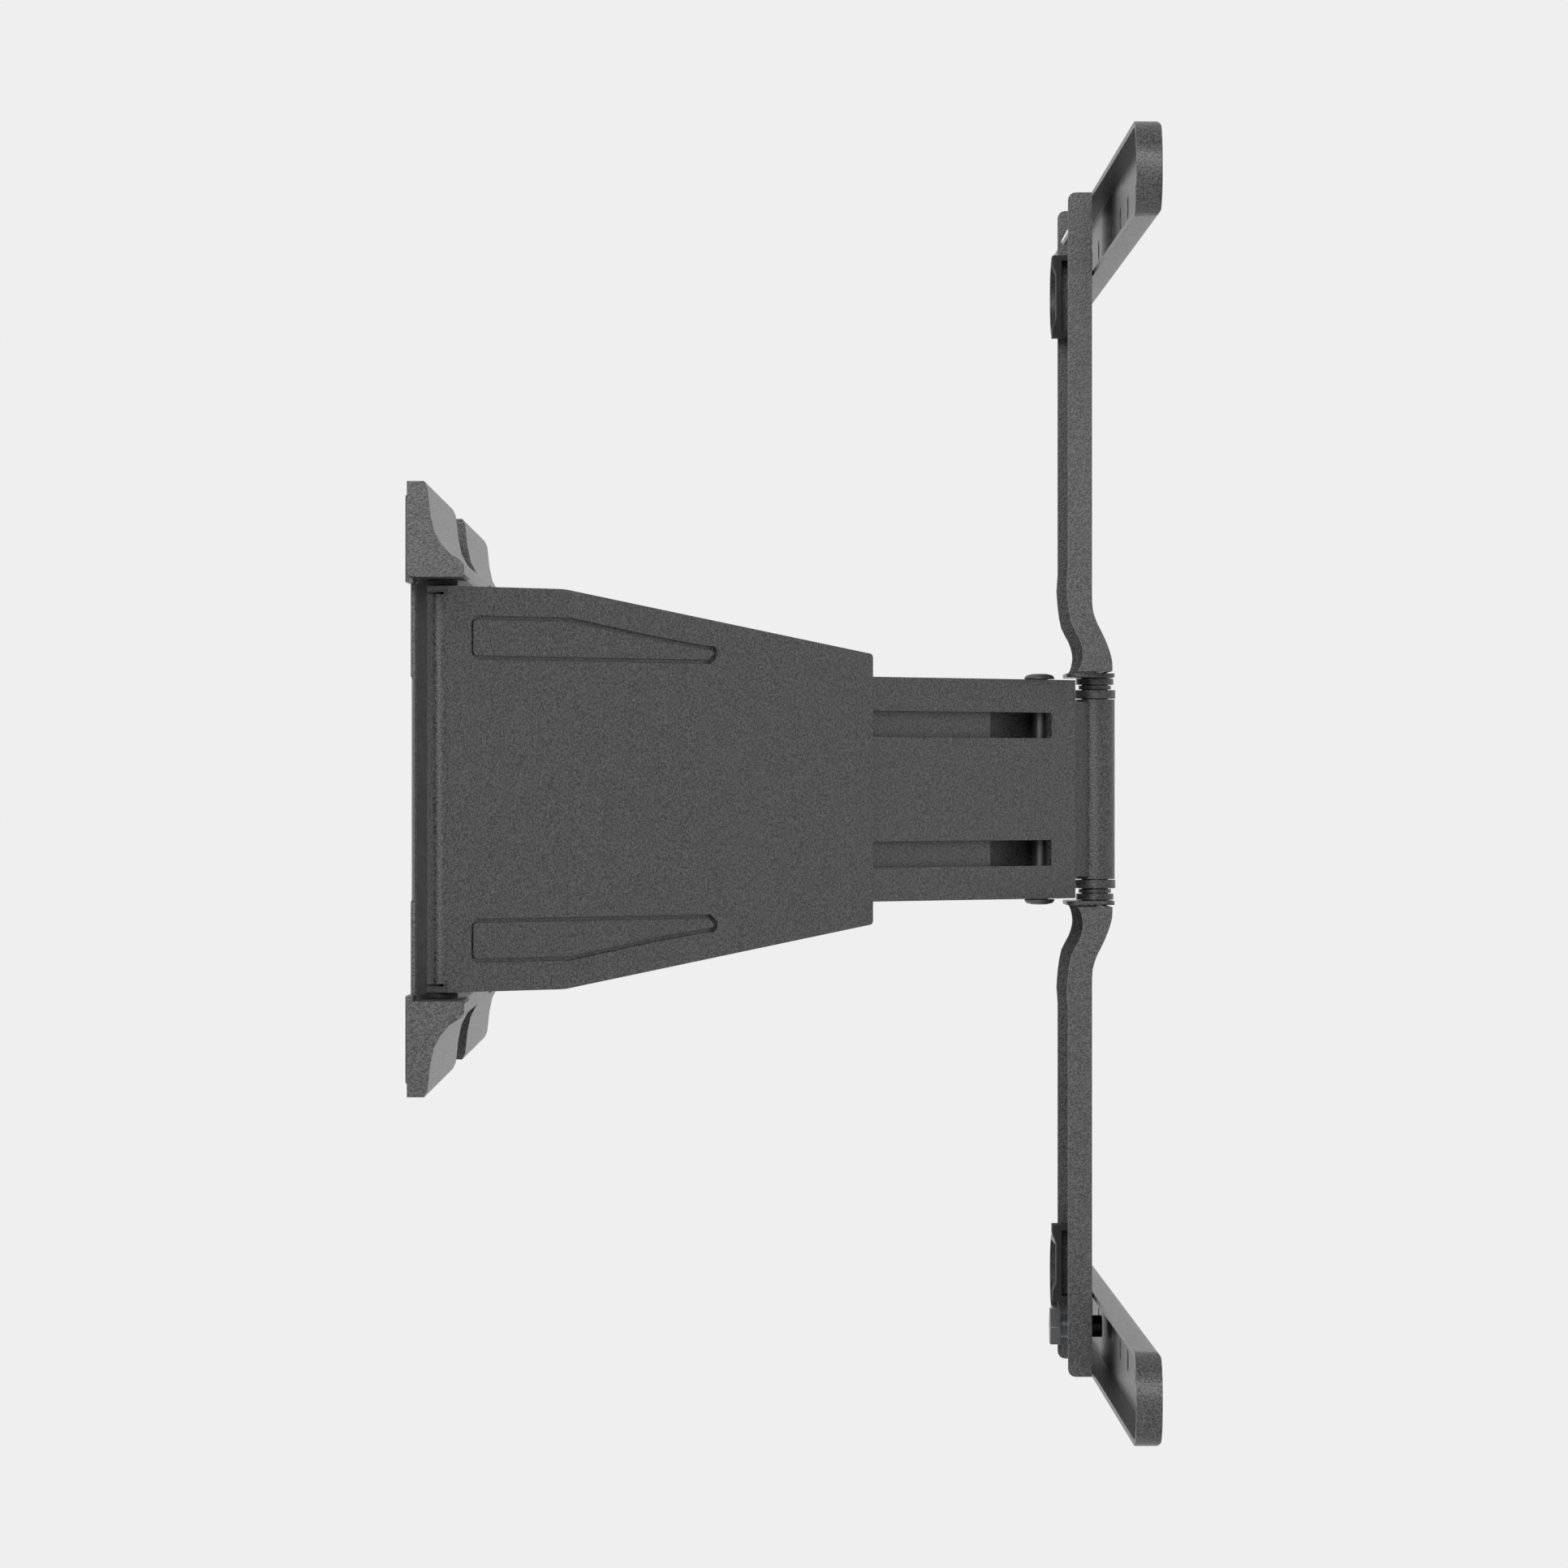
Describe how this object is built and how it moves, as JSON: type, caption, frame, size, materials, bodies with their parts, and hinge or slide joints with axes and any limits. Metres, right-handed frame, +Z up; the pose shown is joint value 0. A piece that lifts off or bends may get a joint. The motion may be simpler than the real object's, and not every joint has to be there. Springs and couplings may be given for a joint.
{
  "type": "full motion tv wall mount",
  "caption": "Slim full motion TV wall mount: hinged telescoping arm from one end of the wall plate, swivelling mast and two slotted TV rails that tilt.",
  "frame": {"origin": "centre of the wall plate's back face", "axes": "+Y into the wall, -Y towards the television, +Z up, X along the wall and the TV rails"},
  "size_m": [0.64, 0.2482, 0.431],
  "materials": {
    "paint": "matte powder coat",
    "steel": "dark zinc",
    "plastic": "matte"
  },
  "bodies": {
    "wall": {"wall_plate": "paint", "end_buffer": "plastic", "cover_top_left": "paint", "cover_top_right": "paint", "cover_bottom_left": "paint", "cover_bottom_right": "paint", "shoulder_ear_top": "paint", "shoulder_ear_bottom": "paint", "shoulder_pin": "steel", "shoulder_bush_top": "plastic", "shoulder_bush_bottom": "plastic"},
    "arm": {"arm_shell": "paint", "arm_back_plate": "paint", "arm_knuckle_tube": "steel", "guide_stud_top": "steel", "guide_stud_bottom": "steel", "glide_pad_top": "plastic", "glide_pad_bottom": "plastic"},
    "forearm": {"forearm_channel": "paint", "forearm_back_plate": "paint", "forearm_liner": "paint", "head_knuckle": "paint", "knuckle_rivet": "steel"},
    "head": {"swivel_shaft": "steel", "swivel_collar_top": "plastic", "swivel_collar_bottom": "plastic", "swivel_spacer_top": "plastic", "swivel_spacer_bottom": "plastic", "swivel_washer_top": "steel", "swivel_washer_bottom": "steel", "mast_foot_top": "paint", "mast_foot_bottom": "paint", "mast_upper": "paint", "mast_lower": "paint", "cable_clip_top": "plastic", "cable_clip_bottom": "plastic"},
    "bolt": {"tilt_bolt": "steel"},
    "upper_rail": {"rail_top": "paint"},
    "lower_rail": {"rail_bottom": "paint"}
  },
  "joints": [
    {"name": "arm_swing", "type": "hinge", "parent": "wall", "child": "arm", "pos_m": [-0.248, -0.009, 0], "axis": [0, 0, 1], "range_deg": [-48, 27]},
    {"name": "arm_extension", "type": "slide", "parent": "arm", "child": "forearm", "axis": [0.7309, -0.6825, 0], "range_m": [-0.085, 0]},
    {"name": "head_swivel", "type": "hinge", "parent": "forearm", "child": "head", "pos_m": [0, -0.2406, 0], "axis": [0, 0, 1], "range_deg": [-45, 45]},
    {"name": "tilt", "type": "hinge", "parent": "head", "child": "upper_rail", "pos_m": [0, -0.2381, 0.2173], "axis": [-1, 0, 0], "range_deg": [0, 1]},
    {"name": "lower_rail_tilt", "type": "hinge", "parent": "head", "child": "lower_rail", "pos_m": [0, -0.2381, 0.2173], "axis": [-1, 0, 0], "range_deg": [0, 1.01]},
    {"name": "tilt_bolt_feed", "type": "slide", "parent": "head", "child": "bolt", "axis": [0, -1, 0], "range_m": [0, 0.00725]}
  ],
  "couplings": [
    {"joint": "lower_rail_tilt", "follows": "tilt", "ratio": 1},
    {"joint": "tilt_bolt_feed", "follows": "tilt", "m_per_rad": 0.4148}
  ]
}
